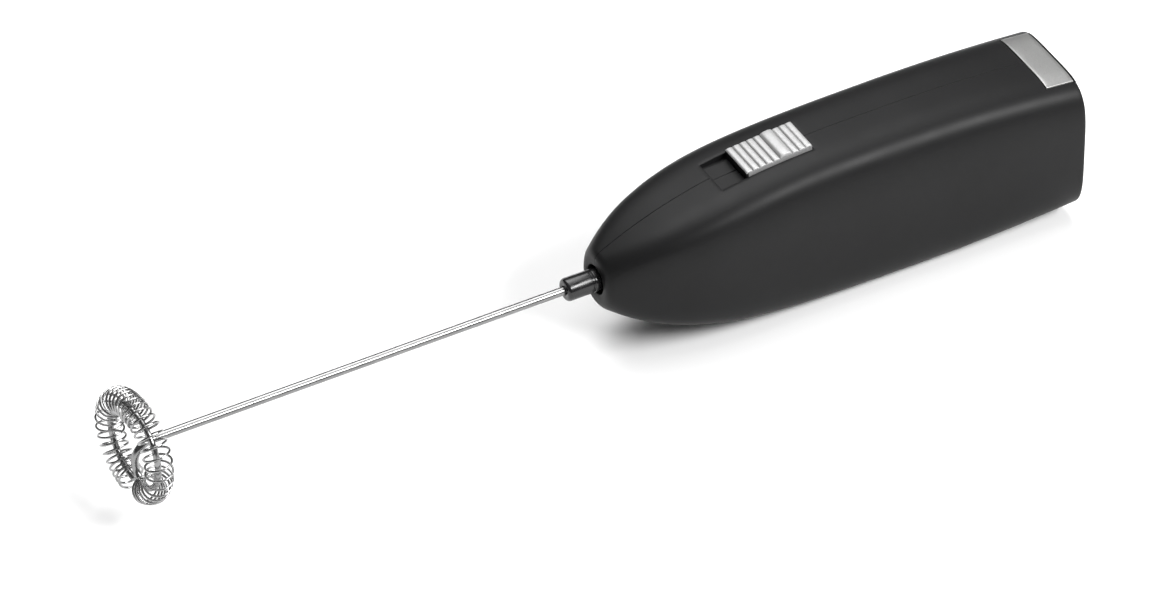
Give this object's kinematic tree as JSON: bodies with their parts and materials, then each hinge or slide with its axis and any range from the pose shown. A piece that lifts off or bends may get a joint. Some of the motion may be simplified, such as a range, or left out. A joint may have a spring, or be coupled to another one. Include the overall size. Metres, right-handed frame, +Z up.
{
  "type": "milk frother",
  "caption": "Handheld milk frother: a tapered handle with a slide switch and a hinged battery door, and a slim shaft that ends in a ring wrapped in a coiled spring.",
  "frame": {"origin": "centre of the bounding box at its base, where the handle's underside lies on a table", "axes": "+X along the handle from the whisk to the battery door, +Z up on the switch side, -Y is the left side"},
  "size_m": [0.211, 0.0272, 0.0368],
  "materials": {
    "black_plastic": "soft-touch, matte",
    "gloss_black_plastic": "glossy",
    "silver_plastic": "silver painted, satin",
    "polished_steel": "polished",
    "steel": "plain",
    "motor_steel": "galvanised",
    "motor_plastic": "plain",
    "ferrite": "matte",
    "bronze": "sintered",
    "copper": "plain",
    "contact_metal": "nickel plated",
    "cell_metal": "satin",
    "cell_jacket": "glossy film",
    "black_wire": "smooth",
    "red_wire": "smooth"
  },
  "bodies": {
    "handle": {"housing_left": "black_plastic", "housing_right": "black_plastic", "housing_screws": "steel", "battery_cradle": "black_plastic", "battery_upper": "cell_metal", "battery_lower": "cell_metal", "battery_jackets": "cell_jacket", "front_negative_plate": "contact_metal", "front_negative_spring": "contact_metal", "front_positive_contact": "contact_metal", "motor_can": "motor_steel", "motor_end_bell": "motor_plastic", "motor_magnets": "ferrite", "motor_bushings": "bronze", "motor_brushes": "copper", "motor_terminals": "copper", "switch_carrier": "black_plastic", "switch_terminal_front": "copper", "switch_terminal_rear": "copper", "wire_negative": "black_wire", "wire_positive": "red_wire", "wire_motor": "red_wire", "door_hinge_pin": "steel"},
    "rotor": {"motor_shaft": "steel", "armature_core": "motor_steel", "armature_windings": "copper", "commutator": "copper", "coupling_sleeve": "gloss_black_plastic", "whisk_shaft": "polished_steel", "whisk_ring": "polished_steel", "whisk_spring": "polished_steel"},
    "switch": {"switch_button": "silver_plastic", "switch_clip": "black_plastic", "switch_leaf": "copper"},
    "door": {"battery_door": "black_plastic", "door_latch_plate": "silver_plastic", "door_contact_plate": "contact_metal", "door_contact_spring": "contact_metal"}
  },
  "joints": [
    {"name": "whisk_spin", "type": "hinge", "parent": "handle", "child": "rotor", "pos_m": [0.00014, 0, 0.018], "axis": [1, 0, 0], "continuous": true},
    {"name": "switch_slide", "type": "slide", "parent": "handle", "child": "switch", "axis": [-0.9964, 0, -0.085], "range_m": [0, 0.0055]},
    {"name": "door_hinge", "type": "hinge", "parent": "handle", "child": "door", "pos_m": [0.10356, 0, 0.0041], "axis": [0, 1, 0], "range_deg": [0, 90]}
  ]
}
